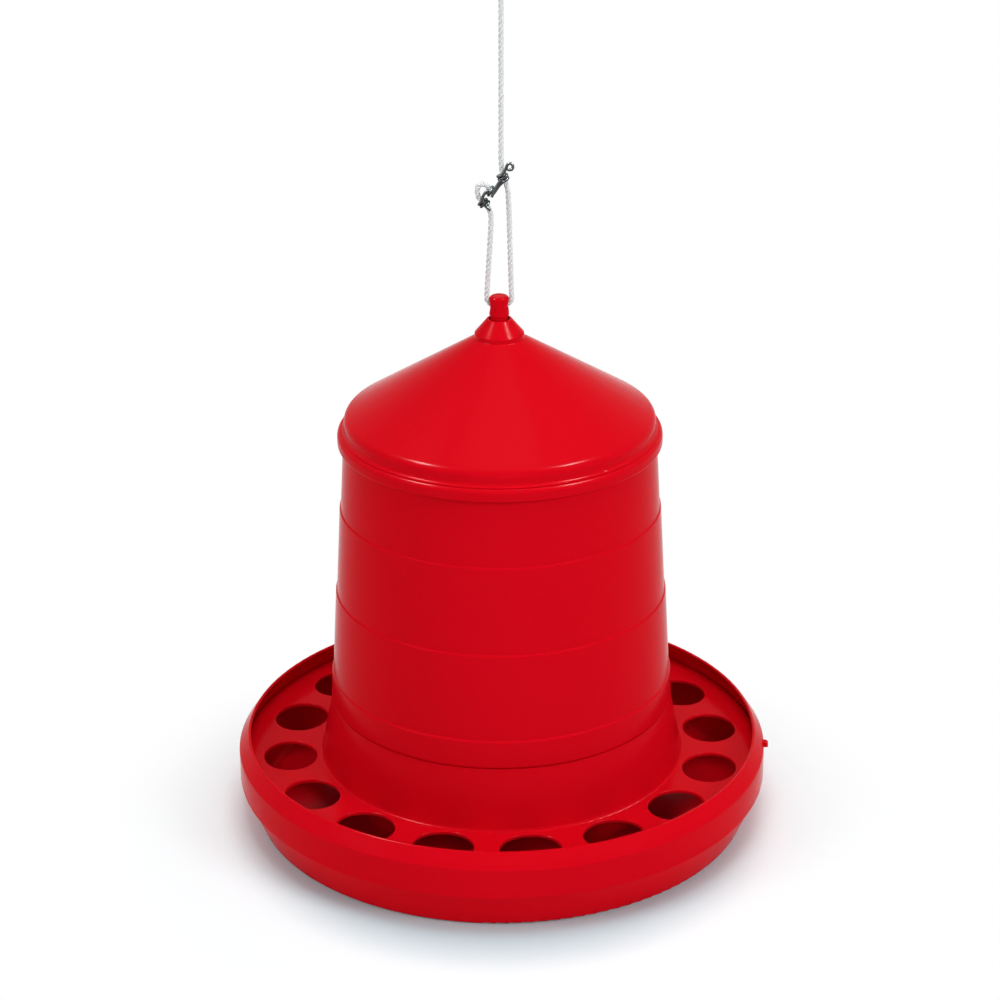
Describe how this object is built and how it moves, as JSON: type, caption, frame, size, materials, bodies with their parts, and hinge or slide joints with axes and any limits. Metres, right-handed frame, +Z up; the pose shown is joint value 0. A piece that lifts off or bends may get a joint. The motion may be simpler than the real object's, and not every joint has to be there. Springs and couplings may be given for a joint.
{
  "type": "poultry feeder",
  "caption": "Round hopper feeder for poultry with a wide tray, a feed saver ring of oval openings, a conical lid and a centre rod hung from a rope with a wire adjuster.",
  "frame": {"origin": "on the floor, under the centre of the tray", "axes": "+Z up along the rod, +X out through the lug of the feed saver ring and along the rod's cross hole"},
  "size_m": [0.4232, 0.42, 0.7155],
  "materials": {
    "tray_plastic": "glossy moulded polypropylene",
    "ring_plastic": "glossy moulded polypropylene",
    "hopper_plastic": "glossy moulded polypropylene",
    "lid_plastic": "glossy moulded polypropylene",
    "rod_plastic": "glossy moulded polypropylene",
    "zinc_steel": "zinc plated",
    "rope_fibre": "twisted white fibre",
    "dark_wire": "dark bent wire"
  },
  "bodies": {
    "root": {"tray": "tray_plastic", "feed_saver_ring": "ring_plastic", "hopper": "hopper_plastic", "lid": "lid_plastic", "hanger_rod": "rod_plastic", "rod_washer": "zinc_steel", "rod_nut": "zinc_steel", "hanging_rope": "rope_fibre", "hanging_loop": "rope_fibre", "loop_knot": "rope_fibre", "rope_adjuster": "dark_wire"}
  },
  "joints": []
}
